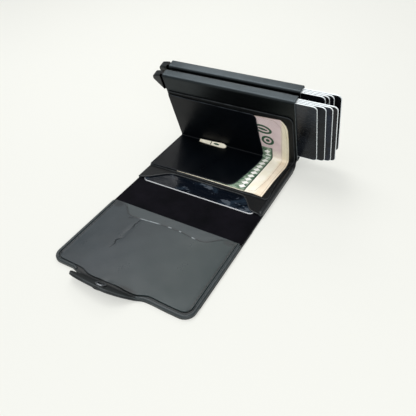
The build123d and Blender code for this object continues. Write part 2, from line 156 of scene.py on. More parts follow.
def spline(points, parts=5):
    """A smooth open line through the points."""
    p = [Vector(q) for q in points]
    p = [2 * p[0] - p[1]] + p + [2 * p[-1] - p[-2]]
    line = []
    for a, b, c, d in zip(p, p[1:], p[2:], p[3:]):
        for i in range(parts):
            t = i / parts
            q = 2 * b + (c - a) * t + (2 * a - 5 * b + 4 * c - d) * t**2 + (3 * b - a - 3 * c + d) * t**3
            line.append(tuple(q / 2))
    return line + [tuple(p[-2])]


def between(a, b, t):
    """The point that lies the share t of the way from a to b."""
    return a[0] + (b[0] - a[0]) * t, a[1] + (b[1] - a[1]) * t


def heading_of(a, b):
    return math.atan2(b[1] - a[1], b[0] - a[0])


def divide(loop, step):
    """The closed loop with its long sides divided."""
    done = []
    for a, b in zip(loop, loop[1:] + loop[:1]):
        count = max(1, math.ceil(math.dist(a, b) / step))
        done += [between(a, b, i / count) for i in range(count)]
    return done


def turned(loop, positive):
    """The loop running anticlockwise, or clockwise where positive is false."""
    area = sum(a[0] * b[1] - b[0] * a[1] for a, b in zip(loop, loop[1:] + loop[:1]))
    return loop if (area > 0) == positive else loop[::-1]


def inset(loop, amount):
    """The loop moved to its left by amount."""
    p = np.array(loop)
    ahead = np.roll(p, -1, 0) - p
    ahead /= np.linalg.norm(ahead, axis=1)[:, None]
    behind = np.roll(ahead, 1, 0)
    normal = np.stack([-(ahead[:, 1] + behind[:, 1]), ahead[:, 0] + behind[:, 0]], 1)
    length = np.maximum(np.linalg.norm(normal, axis=1), 0.6)
    return p + normal / length[:, None] * (amount * np.minimum(2 / length, 1.5))[:, None]


def inside(points, loops):
    """True where a point lies inside the loops, by the even-odd rule."""
    hit = np.zeros(len(points), bool)
    x, y = points[:, 0, None], points[:, 1, None]
    for loop in loops:
        a = np.array(loop)
        b = np.roll(a, -1, 0)
        rise = np.where(b[:, 1] == a[:, 1], 1, b[:, 1] - a[:, 1])
        span = (a[:, 1] > y) != (b[:, 1] > y)
        cut = (b[:, 0] - a[:, 0]) * (y - a[:, 1]) / rise + a[:, 0]
        hit ^= (span & (x < cut)).sum(1) % 2 == 1
    return hit


def clearance(points, loops):
    """Each point's distance from the nearest side of the loops."""
    near = np.full(len(points), 1e9)
    for loop in loops:
        a = np.array(loop)
        d = np.roll(a, -1, 0) - a
        q = points[:, None, :] - a
        t = np.clip((q * d).sum(2) / np.maximum((d * d).sum(1), 1e-12), 0, 1)
        near = np.minimum(near, np.linalg.norm(q - t[:, :, None] * d, axis=2).min(1))
    return near


RIM_BAND = 0.35  # how far in from its rounded edge a sheet's leather is rubbed
THREAD_SIDES = 8


class Piece:
    """A mesh under construction. Flat coordinates go to its UV map, in metres."""

    def __init__(self):
        self.points, self.flat, self.rims, self.faces = [], [], [], []

    def add(self, place, x, v, h, rim=0.0):
        self.points.append(place(x, v, h))
        self.flat.append((x * MM, v * MM))
        self.rims.append(rim)
        return len(self.points) - 1

    def join(self, rows):
        """Faces between closed rows of the same number of points."""
        for a, b in zip(rows, rows[1:]):
            for i in range(len(a)):
                j = (i + 1) % len(a)
                self.faces.append([a[i], a[j], b[j], b[i]])

    def sheet(self, loop, place, low, high, soft=0.25, step=2.5, holes=(), relief=None):
        """A sheet of leather, paper or card with rounded edges."""
        soft = min(soft, (high - low) * 0.49)
        loops = [divide(turned(list(loop), True), step)]
        loops += [divide(turned(list(hole), False), step) for hole in holes]
        relief = relief or (lambda x, v: 0.0)
        inner = [inset(p, soft + RIM_BAND) for p in loops]
        starts, ends = np.min(inner[0], 0) + step / 2, np.max(inner[0], 0)
        across, along = (np.arange(a, b, step) for a, b in zip(starts, ends))
        grid = np.array([(x, v) for v in along for x in across]).reshape(-1, 2)
        grid = grid[inside(grid, inner)]
        grid = grid[clearance(grid, inner) > step * 0.55]
        points, sides = [], []
        for p in inner:
            first = len(points)
            points += [tuple(q) for q in p]
            sides += [(first + i, first + (i + 1) % len(p)) for i in range(len(p))]
        points += [tuple(q) for q in grid]
        got, _, faces, kept, _, _ = delaunay_2d_cdt([Vector(p) for p in points], sides, [], 0, 1e-6)
        middles = np.array([sum((got[i] for i in f), Vector((0, 0))) / len(f) for f in faces])
        faces = [f for f, good in zip(faces, inside(middles, inner)) if good]
        made = {i: n for n, sources in enumerate(kept) for i in sources}
        tops = [self.add(place, q.x, q.y, high + relief(q.x, q.y)) for q in got]
        bottoms = [self.add(place, q.x, q.y, low) for q in got]
        self.faces += [[tops[i] for i in f] for f in faces]
        self.faces += [[bottoms[i] for i in reversed(f)] for f in faces]
        profile = [(1.0, 0.0, 0.5), (0.29, 0.29, 1.0), (0.0, 1.0, 1.0)]
        first = 0
        for p, loop in zip(inner, loops):
            count = len(p)
            rows = [[tops[made[first + i]] for i in range(count)]]
            edge = [(inset(loop, soft * share), soft * drop, rim) for share, drop, rim in profile]
            for line, drop, rim in edge:
                rows.append([self.add(place, x, v, high + relief(x, v) - drop, rim) for x, v in line])
            for line, drop, rim in edge[::-1]:
                rows.append([self.add(place, x, v, low + drop, rim) for x, v in line])
            rows.append([bottoms[made[first + i]] for i in range(count)])
            self.join(rows)
            first += count
        return self

    def rim(self, path, place, half, low, high, step=1.5):
        """A raised, rounded border that follows an open path."""
        line = [path[0]]
        for a, b in zip(path, path[1:]):
            count = max(1, math.ceil(math.dist(a, b) / step))
            line += [between(a, b, i / count) for i in range(1, count + 1)]
        p = np.array(line)
        ahead = np.gradient(p, axis=0)
        ahead /= np.linalg.norm(ahead, axis=1)[:, None]
        side = np.stack([-ahead[:, 1], ahead[:, 0]], 1)
        rise = high - low
        shape = [(-1, 0), (-1, 0.55), (-0.78, 0.8425), (-0.35, 1)]
        shape += [(-across, up) for across, up in shape[::-1]]
        rows = []
        for i, q in enumerate(p):
            slim = 0.45 if i in (0, len(p) - 1) else 1.0
            tall = rise * (0.8 + 0.2 * slim)
            rows.append([
                self.add(place, *(q + side[i] * half * across * slim), low + tall * up, abs(across) * 0.6)
                for across, up in shape
            ])
        self.join(rows)
        self.faces += [rows[0][::-1], rows[-1]]
        return self

    def stitches(self, path, place, h, pitch=3.0, length=2.1, width=0.5, sink=0.12):
        """Thread ends that follow a path, each a small rounded capsule."""
        total = sum(math.dist(a, b) for a, b in zip(path, path[1:]))
        count = int(total / pitch)
        spots, walked, target = [], 0.0, total / (2 * count)
        for a, b in zip(path, path[1:]):
            run = math.dist(a, b)
            while run and target <= walked + run + 1e-9 and len(spots) < count:
                t = (target - walked) / run
                spots.append((*between(a, b, t), heading_of(a, b)))
                target += total / count
            walked += run
        for x, v, heading in spots:
            heading += random.uniform(-0.05, 0.05)
            rows = []
            for t, slim in ((-1, 0.35), (-0.8, 0.8), (-0.35, 1), (0.35, 1), (0.8, 0.8), (1, 0.35)):
                ring = []
                for k in range(THREAD_SIDES):
                    a = 2 * math.pi * k / THREAD_SIDES
                    along, across = t * length / 2, math.cos(a) * width / 2 * slim
                    px = x + along * math.cos(heading) - across * math.sin(heading)
                    pv = v + along * math.sin(heading) + across * math.cos(heading)
                    up = h - sink + math.sin(a) * width * 0.42 * slim - width * 0.25 * t * t
                    ring.append(self.add(place, px, pv, up))
                rows.append(ring)
            self.join(rows)
            self.faces += [rows[0][::-1], rows[-1]]
        return self

    def make(self, name, finish, slot):
        mesh = bpy.data.meshes.new(name)
        mesh.from_pydata([tuple(p) for p in self.points], [], self.faces)
        uv = mesh.uv_layers.new(name="flat")
        corner = [i for f in mesh.polygons for i in f.vertices]
        uv.data.foreach_set("uv", np.array([self.flat[i] for i in corner], np.float32).ravel())
        rim = mesh.attributes.new("rim", "FLOAT", "POINT")
        rim.data.foreach_set("value", np.array(self.rims, np.float32))
        bm = bmesh.new()
        bm.from_mesh(mesh)
        bmesh.ops.recalc_face_normals(bm, faces=bm.faces)
        bm.to_mesh(mesh)
        bm.free()
        mesh.shade_smooth()
        mesh.materials.append(finish)
        o = placed(name, mesh)
        return o


# ---- Materials ----


def rgb(code):
    """Linear colour of an sRGB hex code."""
    parts = [int(code[i : i + 2], 16) / 255 for i in (1, 3, 5)]
    return [c / 12.92 if c <= 0.04045 else ((c + 0.055) / 1.055) ** 2.4 for c in parts] + [1.0]


class Finish:
    """A procedural material. Coordinates are in metres, so a scale is in features per metre.

    An input may be a node's output, a value, or an sRGB hex code. gloss is the specular level.
    """

    def __init__(self, name, coords="UV", gloss=0.5, **fixed):
        self.material = bpy.data.materials.new(name)
        self.material.use_nodes = True
        self.tree = self.material.node_tree
        self.shader = self.tree.nodes["Principled BSDF"]
        self.coords = self.node("TexCoord").outputs[coords]
        fixed["Specular_IOR_Level"] = gloss
        for key, value in fixed.items():
            self.shader.inputs[key.replace("_", " ")].default_value = value

    def node(self, kind, inputs=None, **props):
        n = self.tree.nodes.new("ShaderNode" + kind)
        for key, value in props.items():
            setattr(n, key, value)
        for key, value in (inputs or {}).items():
            if isinstance(value, bpy.types.NodeSocket):
                self.tree.links.new(value, n.inputs[key])
            else:
                n.inputs[key].default_value = rgb(value) if isinstance(value, str) else value
        return n

    def moved(self, scale=(1, 1, 1), turn=(0, 0, 0)):
        return self.node("Mapping", {"Vector": self.coords, "Scale": scale, "Rotation": turn}).outputs[0]

    def noise(self, scale, detail=3.0, rough=0.5, stretch=(1, 1, 1), turn=(0, 0, 0), warp=0.0):
        inputs = {"Scale": scale, "Detail": detail, "Roughness": rough, "Distortion": warp}
        return self.node("TexNoise", {"Vector": self.moved(stretch, turn), **inputs}).outputs["Fac"]

    def cells(self, scale, feature="F1", stretch=(1, 1, 1)):
        at = self.moved(stretch)
        return self.node("TexVoronoi", {"Vector": at, "Scale": scale}, feature=feature).outputs["Distance"]

    def wave(self, scale, warp=0.0, detail=2.0, direction="X", stretch=(1, 1, 1)):
        inputs = {"Vector": self.moved(stretch), "Scale": scale, "Distortion": warp, "Detail": detail}
        return self.node("TexWave", inputs, bands_direction=direction).outputs["Fac"]

    def span(self, value, low, high, to_low=0.0, to_high=1.0):
        """The value mapped from low..high to to_low..to_high, and held at both ends."""
        inputs = {"Value": value, "From Min": low, "From Max": high, "To Min": to_low, "To Max": to_high}
        return self.node("MapRange", inputs).outputs[0]

    def math(self, operation, a, b=0.0):
        return self.node("Math", {0: a, 1: b}, operation=operation).outputs[0]

    def times(self, a, b):
        return self.math("MULTIPLY", a, b)

    def plus(self, a, b):
        return self.math("ADD", a, b)

    def apart(self, a, b):
        """The distance between two values."""
        return self.math("ABSOLUTE", self.math("SUBTRACT", a, b))

    def dot(self, a, b):
        return self.node("VectorMath", {0: a, 1: b}, operation="DOT_PRODUCT").outputs["Value"]

    def facing(self, axis):
        """How squarely the surface faces along the axis, one way or the other."""
        return self.math("ABSOLUTE", self.dot(self.node("TexCoord").outputs["Normal"], axis))

    def mix(self, share, a, b):
        return self.node("MixRGB", {"Fac": share, "Color1": a, "Color2": b}).outputs[0]

    def tone(self, value, low, high, dark, light):
        """Colour that goes from dark at a low value to light at a high one."""
        return self.mix(self.span(value, low, high), dark, light)

    def axes(self):
        return self.node("SeparateXYZ", {"Vector": self.coords}).outputs

    def rim(self):
        return self.node("Attribute", attribute_name="rim").outputs["Fac"]

    def bump(self, height, strength, distance, under=None):
        inputs = {"Height": height, "Strength": strength, "Distance": distance}
        if under:
            inputs["Normal"] = under
        return self.node("Bump", inputs).outputs[0]

    def done(self, colour, roughness, normal=None):
        for socket, key in ((colour, "Base Color"), (roughness, "Roughness"), (normal, "Normal")):
            if socket is not None:
                self.tree.links.new(socket, self.shader.inputs[key])
        return self.material


def leather(
    name, dark, light, edge, rough, grain=1500, depth=0.00008, creases=0.0, wear=0.6, pits=0.35,
    right=None, margin=None, wrinkles=(), dark_ovals=(), **fixed,
):
    """Full-grain leather: pebbled pores, fine creases, uneven dye and rubbed edges.

    grain is the number of pores per metre, depth their height, pits how dark they are, and wear how
    far the rubbed edges show. right is a tint the right side fades to, painted shade that tones down
    the sheen there, and margin the half width where a dark line of painted shade marks the stitching
    groove. A wrinkle is a line between two flat points and its width, in metres. A dark oval has its
    middle and half sizes in mm, and its strength; where it sits in a hollow it is painted shade.
    """
    f = Finish(name, **fixed)
    x, v, _ = f.axes()
    dye = f.span(f.noise(28, 4, 0.6), 0.3, 0.72)
    fine = f.noise(900, 3, 0.6)
    colour = f.mix(f.times(dye, 0.8), dark, light)
    colour = f.mix(f.span(fine, 0.55, 0.8, 0, 0.3), colour, light)
    pores = f.cells(grain, "SMOOTH_F1", (1, 1.15, 1))
    colour = f.mix(f.span(pores, 0.0, 0.25, pits, 0.0), colour, "#000000")
    # Painted shade: the right side fades to a darker green tint that tones down the sheen it catches
    if right:
        colour = f.mix(f.span(x, -0.02, 0.03, 0.0, 0.6), colour, right)
    rubbed = f.times(f.rim(), f.span(f.noise(160, 4, 0.6), 0.35, 0.65, 0.25, 1.0))
    colour = f.mix(f.times(rubbed, wear), colour, edge)
    shine = f.plus(f.noise(60, 4), f.times(fine, 0.4))
    roughness = f.span(shine, 0.4, 0.95, rough - 0.08, rough + 0.1)
    normal = f.bump(pores, 0.5, depth)
    normal = f.bump(f.noise(3200, 2), 0.25, depth * 0.5, normal)
    # Painted shade: a dark line along the stitching groove at the margin
    if margin:
        groove = f.span(f.apart(f.math("ABSOLUTE", x), margin - 0.0006), 0.0002, 0.0008, 1, 0)
        colour = f.mix(f.times(groove, 0.7), colour, "#0a0c0d")
    # Each dark oval is mixed towards near-black; where it sits in a hollow it is painted shade
    for cx, cv, across, along, strength in dark_ovals:
        far = f.times(f.noise(220, 3), 0.6)
        for value, middle, half in ((x, cx, across), (v, cv, along)):
            share = f.times(f.plus(value, -middle * MM), 1 / (half * MM))
            far = f.plus(far, f.math("POWER", share, 2.0))
        colour = f.mix(f.span(far, 0.45, 1.3, strength, 0.0), colour, "#090d0e")
    for ax, av, bx, bv, wide in wrinkles:
        run = math.hypot(bx - ax, bv - av)
        dx, dv = (bx - ax) / run, (bv - av) / run
        stray = f.times(f.plus(f.noise(180, 3), -0.5), 0.006)
        off = f.plus(f.plus(f.times(x, dv), f.times(v, -dx)), stray)
        off = f.apart(off, ax * dv - av * dx)
        along = f.plus(f.plus(f.times(x, dx), f.times(v, dv)), -ax * dx - av * dv)
        ends = f.times(f.span(along, 0, run * 0.3), f.span(along, run * 0.6, run, 1, 0))
        line = f.times(f.span(off, 0.0, wide, 1, 0), ends)
        colour = f.mix(f.times(line, 0.9), colour, "#0b0e10")
        normal = f.bump(f.math("SUBTRACT", 1.0, line), 0.7, 0.0004, normal)
    if creases:
        lines = f.apart(f.noise(42, 4, 0.55, (1, 2.2, 1), (0, 0, 0.5), 1.2), 0.5)
        normal = f.bump(f.span(lines, 0.0, 0.035), creases, 0.0003, normal)
    return f.done(colour, roughness, normal)


def suede():
    """Napped lining: short fibres, brushed patches and a soft sheen."""
    f = Finish("lining_suede", Sheen_Weight=0.015, Sheen_Roughness=0.5, gloss=0.04)
    fibres = f.noise(2600, 4, 0.75, (1, 1.8, 1))
    patches = f.noise(45, 4, 0.65)
    colour = f.tone(patches, 0.35, 0.7, "#040407", "#110f15")
    colour = f.mix(f.span(fibres, 0.45, 0.75, 0, 0.5), colour, "#101216")
    normal = f.bump(fibres, 0.8, 0.0002)
    return f.done(colour, f.span(patches, 0.2, 0.8, 0.82, 0.95), f.bump(patches, 0.3, 0.0006, normal))


def thread():
    f = Finish("thread")
    twist = f.wave(1400, 1.5, 2, "DIAGONAL")
    tone = f.tone(twist, 0.2, 0.8, "#08090a", "#0d0f10")
    return f.done(tone, f.span(f.noise(700), 0.3, 0.7, 0.5, 0.7), f.bump(twist, 0.6, 0.00012))


FLAP_LEATHER = leather(
    "flap_leather", "#2b3134", "#373e42", "#4d5558", 0.33,
    # right: painted shade on the flap's right side; margin: a painted dark line along the stitching groove
    depth=0.00003, wear=0, pits=0.06, right="#0c2422", margin=0.0478,
    dark_ovals=(
        # The first two ovals are painted shade in the hollow where the tab bends up; the other two darken the
        # corners beside the wave's ends
        (8.0, 155.6, 9.0, 2.6, 0.85),
        (-11.0, 156.5, 6.0, 1.2, 0.6),
        (-44.5, 95.5, 6.0, 4.5, 0.5),
        (43.5, 95.5, 5.0, 3.0, 0.6),
    ),
    wrinkles=(
        (-0.0185, 0.0995, -0.0212, 0.1165, 0.0006),
        (-0.0212, 0.1205, -0.0232, 0.134, 0.0006),
        (-0.0290, 0.1065, -0.0245, 0.1010, 0.0004),
    ),
    gloss=0.32,
)
# The tab's inner leather is near-black: partly its own dark leather, partly painted shade of the hollow where
# the tab bends up
TAB_LEATHER = leather("tab_leather", "#0d1011", "#1f2424", "#3b4244", 0.4, depth=0.00005, gloss=0.4)
COVER = ("#0a0c0d", "#141719", "#2c3133", 0.45)
COVER_LEATHER = leather("cover_leather", *COVER, creases=0.12, gloss=0.35)
COVER_MIDDLE = leather("cover_middle_leather", *COVER, wear=0, creases=0.12, gloss=0.35)
DIP_LEATHER = leather("dip_leather", "#31383a", "#3c4446", "#62696b", 0.42, grain=1800, gloss=0.36)


def trim_leather():
    """Cut edge of the flap's pocket: dark, with painted highlights on a few lengths that are also glossier.
    """
    f = Finish("trim_leather", gloss=0.6)
    x, _, _ = f.axes()
    painted_glints = None
    # Painted highlights: a few lengths along the edge turn light and less rough
    for middle, reach in ((-0.0135, 0.0088), (0.0019, 0.0016), (0.0099, 0.0010), (0.0209, 0.0018)):
        here = f.span(f.apart(x, middle), reach * 0.6, reach, 1, 0)
        painted_glints = here if painted_glints is None else f.math("MAXIMUM", painted_glints, here)
    painted_glints = f.times(painted_glints, f.span(f.noise(260, 3), 0.3, 0.55, 0.35, 1.0))
    colour = f.mix(painted_glints, f.mix(f.noise(900), "#15191b", "#262c2f"), "#7d8588")
    return f.done(colour, f.span(painted_glints, 0, 1, 0.5, 0.28), f.bump(f.noise(1500, 3), 0.3, 0.00006))


TRIM_LEATHER = trim_leather()
TRAY_LEATHER = leather("tray_leather", "#07090a", "#101314", "#3f4346", 0.5, wear=0.8, gloss=0.17)
LEAF_LEATHER = leather(
    "leaf_leather", "#020407", "#05080d", "#3a3f45", 0.32,
    grain=1900, depth=0.00003, wear=0.9, gloss=0.13,
)
POCKET_LEATHER = leather("pocket_leather", "#0d0e0f", "#191b1c", "#33373a", 0.5, grain=1400, gloss=0.16)
EDGE_LEATHER = leather("edge_leather", "#0d0f11", "#1a1d1f", "#41474a", 0.38, gloss=0.4)
BORDER_LEATHER = leather("border_leather", "#1f2527", "#2d3537", "#454d50", 0.36, wear=0.4, gloss=0.36)
SUEDE = suede()
THREAD = thread()


def note_paper():
    """Banknote paper with a generic printed ground: no numerals, letters or portrait."""
    f = Finish("note_paper", gloss=0.25)
    x, s, _ = f.axes()
    fibres = f.noise(1500, 4, 0.7, (1, 3, 1))
    cloud = f.noise(120, 4, 0.6)
    cream = f.tone(cloud, 0.35, 0.65, "#f7f2de", "#fffbee")
    pink = f.tone(cloud, 0.35, 0.65, "#d2c0c1", "#e0d0cf")
    tan = f.tone(cloud, 0.35, 0.65, "#f0dfc6", "#f8ecd6")
    pale = f.tone(cloud, 0.35, 0.65, "#e4ddc0", "#f0ead2")
    tan = f.mix(f.span(s, -0.004, 0.006), tan, pale)
    lines = f.wave(420, 3.0, 2, "DIAGONAL", (1, 0.4, 1))
    place = f.plus(x, f.times(s, -0.05))
    # Pink ground on the upper fold, cream below, and a tan band past the top note's edge
    height = f.span(f.plus(s, f.times(f.noise(70), 0.01)), 0.001, 0.018)
    ground = f.mix(height, cream, pink)
    ground = f.mix(f.span(place, 0.0385, 0.0405), ground, tan)
    ground = f.mix(f.times(f.span(lines, 0.6, 0.9, 0, 0.35), height), ground, "#b79aa0")
    # Green engraved band beside the leaf, on the lower fold and the crease
    green = f.mix(f.span(f.wave(700, 6.0, 3, "X", (1, 0.6, 1)), 0.35, 0.65), "#5d7a63", "#b2c0ae")
    green = f.mix(f.span(f.noise(260, 3), 0.42, 0.62), green, "#48664f")
    low = f.math("LESS_THAN", s, 0.0125)
    low = f.times(low, f.math("GREATER_THAN", s, -0.0464))
    band = f.times(f.math("LESS_THAN", place, 0.0312), low)
    ground = f.mix(band, ground, green)
    rule = f.math("LESS_THAN", f.apart(place, 0.0316), 0.00045)
    ground = f.mix(f.times(rule, low), ground, "#1f3d2b")
    # Painted shade: the notes' edges are darker, browner past the green band, so the stacked sheets show dark
    # lines between them
    side = f.tone(x, 0.030, 0.034, "#a89d86", "#7d684e")
    ground = f.mix(f.times(f.rim(), 0.85), ground, side)
    ground = f.mix(f.span(fibres, 0.5, 0.8, 0, 0.12), ground, "#9c8f7c")
    normal = f.bump(fibres, 0.3, 0.00004)
    return f.done(ground, f.span(cloud, 0.3, 0.7, 0.62, 0.78), f.bump(f.noise(90, 3), 0.4, 0.0004, normal))


def ink(name, dark, light):
    f = Finish(name, gloss=0.3)
    hatch = f.wave(1600, 1.0, 2, "DIAGONAL")
    colour = f.mix(f.span(f.plus(hatch, f.noise(700)), 0.7, 1.3), dark, light)
    return f.done(colour, f.span(f.noise(300), 0.3, 0.7, 0.55, 0.75), f.bump(hatch, 0.3, 0.00003))


CARD_CORNER = 3.2 * MM


def core_shows(f, node, up_axis, width):
    """Mask of the white core plastic: a card's cut edges and the worn line beside them, width wide."""
    spots = [(v.co.x, v.co.dot(Vector(up_axis))) for v in frame["nodes"][node].data.vertices]
    low, high = np.min(spots, 0), np.max(spots, 0)
    total = 0.0
    middles, halves = (low + high) / 2, (high - low) / 2 - CARD_CORNER
    for value, middle, half in zip((f.axes()[0], f.dot(f.coords, up_axis)), middles, halves):
        past = f.math("MAXIMUM", f.plus(f.apart(value, float(middle)), -float(half)), 0.0)
        total = f.plus(f.times(past, past), total)
    return f.math("GREATER_THAN", total, (CARD_CORNER - width) ** 2)


def card_plastic(node, name, face, tint, band, painted_reflection=0.0):
    """A laminated card: glossy printed faces, and white core plastic at its edges."""
    f = Finish(name, "Object", gloss=0.12, Coat_Weight=0.12, Coat_Roughness=0.1)
    edge = f.math("LESS_THAN", f.facing(LEAN_AXIS), 0.6)
    edge = f.math("MAXIMUM", edge, core_shows(f, node, UP_FACE, 0.00028))
    print_tone = f.span(f.noise(55, 4, 0.6, (1, 1, 1), (0.3, 0, 0.6), 1.0), 0.42, 0.6)
    colour = f.mix(print_tone, face, tint)
    # Painted reflection: the face turns towards the band colour near the card's top
    if painted_reflection:
        colour = f.mix(f.times(f.span(f.dot(f.coords, UP_FACE), 0.03, 0.055), painted_reflection), colour, band)
    colour = f.mix(f.span(f.noise(1800, 2), 0.6, 0.8, 0, 0.2), colour, band)
    core = f.tone(f.noise(900, 3), 0.3, 0.7, "#dfe8eb", "#f6fafb")
    colour = f.mix(edge, colour, core)
    scratch = f.noise(500, 3, 0.6, (0.6, 1.4, 1.4), (0, 0, 0.2))
    roughness = f.span(scratch, 0.4, 0.7, 0.22, 0.32)
    return f.done(colour, roughness, f.bump(f.noise(350, 3), 0.1, 0.00005))


def slip_plastic():
    """Dark navy card with soft grey blotches under a clear film."""
    f = Finish("slip_card_plastic", "Object", gloss=0.25, Coat_Weight=0.2, Coat_Roughness=0.1)
    edge = f.math("LESS_THAN", f.facing((0, 0, 1)), 0.6)
    edge = f.math("MAXIMUM", edge, core_shows(f, "slip_card", (0, 1, 0), 0.0001))
    blot = f.noise(38, 5, 0.6, (1, 1.6, 1), (0, 0, 0.35), 1.0)
    colour = f.tone(blot, 0.5, 0.62, "#070c14", "#1d2833")
    marks = f.times(f.span(f.noise(95, 3, 0.6, (1, 2.0, 1)), 0.565, 0.59), f.span(blot, 0.46, 0.5))
    colour = f.mix(f.times(marks, 0.8), colour, "#4c535b")
    colour = f.mix(edge, colour, "#fbfdff")
    roughness = f.span(f.noise(400, 3, 0.6, (0.2, 2, 1)), 0.4, 0.7, 0.12, 0.3)
    return f.done(colour, roughness, f.bump(f.noise(250, 3), 0.08, 0.00005))


def anodised():
    """Bead-blasted, black-anodised aluminium, with painted shade on the broad faces and a painted highlight
    on the end faces.
    """
    f = Finish("case_aluminium", "Object", Metallic=0.95)
    grain = f.noise(3500, 2, 0.6)
    smear = f.noise(45, 4, 0.6, (0.4, 1, 1))
    colour = f.tone(smear, 0.35, 0.7, "#2d3234", "#3d4346")
    # Painted highlight: the end faces are lighter, standing in for the bright rims at the tube ends
    painted_end_highlight = f.times(f.span(f.facing((1, 0, 0)), 0.35, 0.7), f.span(f.noise(400, 3), 0.3, 0.6, 0.35, 1.0))
    colour = f.mix(painted_end_highlight, colour, "#5f666a")
    # Painted shade: the broad faces turn darker the more squarely they face out of the block
    colour = f.mix(f.span(f.facing(LEAN_AXIS), 0.7, 0.98, 0.0, 0.5), colour, "#0d0e0e")
    nicks = f.times(f.span(f.cells(260), 0.0, 0.05, 1.0, 0.0), f.span(f.noise(130), 0.5, 0.6))
    colour = f.mix(f.times(nicks, 0.6), colour, "#7b8185")
    rough = f.span(f.plus(smear, f.times(grain, 0.3)), 0.45, 0.9, 0.3, 0.42)
    return f.done(colour, rough, f.bump(grain, 0.3, 0.00003))


def moulded(name, dark, light, rough, groove=None, **fixed):
    """Moulded plastic with a spark-eroded texture and handling shine; past groove it is painted near-black,
    painted shade in the gap beside the case.
    """
    f = Finish(name, "Object", **fixed)
    grain = f.noise(2200, 3, 0.6)
    smear = f.noise(110, 4)
    colour = f.tone(smear, 0.35, 0.7, dark, light)
    colour = f.mix(f.span(grain, 0.55, 0.8, 0, 0.25), colour, "#4d5153")
    # Painted shade: past groove the plastic turns near-black, for the gap between the lever's pad and the
    # case
    if groove:
        colour = f.mix(f.span(f.axes()[0], groove - 0.0006, groove + 0.0002), colour, "#020203")
    return f.done(colour, f.span(smear, 0.3, 0.7, rough - 0.08, rough + 0.1), f.bump(grain, 0.3, 0.00004))


def metal(name, dark, light, rough, stretch=(1, 1, 1)):
    """Plated metal with fine turning marks and a little tarnish."""
    f = Finish(name, "Object", Metallic=1.0)
    marks = f.noise(1800, 3, 0.6, stretch)
    stain = f.noise(220, 4, 0.6)
    colour = f.tone(stain, 0.35, 0.7, dark, light)
    return f.done(colour, f.span(marks, 0.3, 0.7, rough - 0.06, rough + 0.12), f.bump(marks, 0.25, 0.00003))


def foam():
    f = Finish("tape_foam")
    pores = f.cells(1700)
    colour = f.tone(pores, 0.0, 0.5, "#0b0b0c", "#232426")
    return f.done(colour, f.span(f.noise(500), 0.3, 0.7, 0.85, 0.98), f.bump(pores, 0.8, 0.0002))


def plain_paper():
    """Unprinted margin of a note: cream, with fibres and faint folds."""
    f = Finish("note_margin", gloss=0.25)
    fibres = f.noise(1500, 4, 0.7, (1, 3, 1))
    colour = f.tone(f.noise(260, 3), 0.35, 0.65, "#f3ecd6", "#fffbea")
    colour = f.mix(f.span(fibres, 0.5, 0.8, 0, 0.2), colour, "#b3a68c")
    colour = f.mix(f.times(f.rim(), 0.5), colour, "#8d8066")
    return f.done(colour, f.span(fibres, 0.3, 0.7, 0.6, 0.75), f.bump(fibres, 0.3, 0.00004))


NOTE = note_paper()
SLOT_PAPER = plain_paper()
INK = ink("note_ink", "#1c3a29", "#3c5f48")
PALE_INK = ink("note_pale_ink", "#e9e9dc", "#ffffff")
CASE = anodised()
LEVER = moulded("lever_plastic", "#0c1011", "#181d1f", 0.26, groove=-0.0550, gloss=0.32)
INSERT = moulded("insert_plastic", "#0e0f10", "#191b1c", 0.5)
SNAP = metal("snap_metal", "#6d7072", "#9a9da0", 0.3)
SNAP_DARK = metal("snap_gunmetal", "#1c1e20", "#34383a", 0.34)
STEEL = metal("spring_steel", "#8a8d90", "#b4b7ba", 0.25, (1, 6, 6))
FOAM = foam()

NODE_FINISHES = {"snap_socket": SNAP, "snap_stud": SNAP, "snap_cap": SNAP_DARK, "slip_card": slip_plastic()}
CASE_PARTS = {
    "case": CASE, "lever": LEVER, "end_cap": INSERT, "guide_rail": INSERT,
    "lever_pin": STEEL, "lever_spring": STEEL,
}
for side in ("front", "rear"):
    NODE_FINISHES |= {f"{side}_{part}": finish for part, finish in CASE_PARTS.items()}
# Per card: material name, face, tint, band colour, and for one card a share of painted reflection near its
# top
CARD_TONES = {
    "front_card_1": ("card_slate", "#07090c", "#10141a", "#8d949c", 0.12),
    "front_card_2": ("card_black", "#07090c", "#12161b", "#59616b"),
    "front_card_3": ("card_navy", "#090d16", "#141c2a", "#5b6678"),
    "front_card_4": ("card_graphite", "#101113", "#1e2124", "#5a5f63"),
    "rear_card_1": ("card_ink", "#06080c", "#0e1218", "#4f5763"),
    "rear_card_2": ("card_coal", "#0a0a0b", "#151618", "#55585c"),
    "rear_card_3": ("card_deep", "#070a10", "#111722", "#525b6a"),
    "rear_card_4": ("card_night", "#050608", "#0c0e12", "#4a5058"),
}
NODE_FINISHES |= {node: card_plastic(node, *tones) for node, tones in CARD_TONES.items()}
for node, finish in NODE_FINISHES.items():
    o = frame["nodes"][node]
    o.data.materials.clear()
    o.data.materials.append(finish)


# ---- Placing the pieces: each has its transform baked into its mesh ----


def bend_spine(o):
    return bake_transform(o)


def bend_flap(o):
    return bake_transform(o)


def bend_tab(o):
    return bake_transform(o)


def bend_case(o):
    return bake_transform(o)


# ---- Outer cover and tab ----


def from_fold(fold, points):
    """A smooth line whose second coordinates are measured from a fold."""
    return spline([(x, fold + v) for x, v in points])


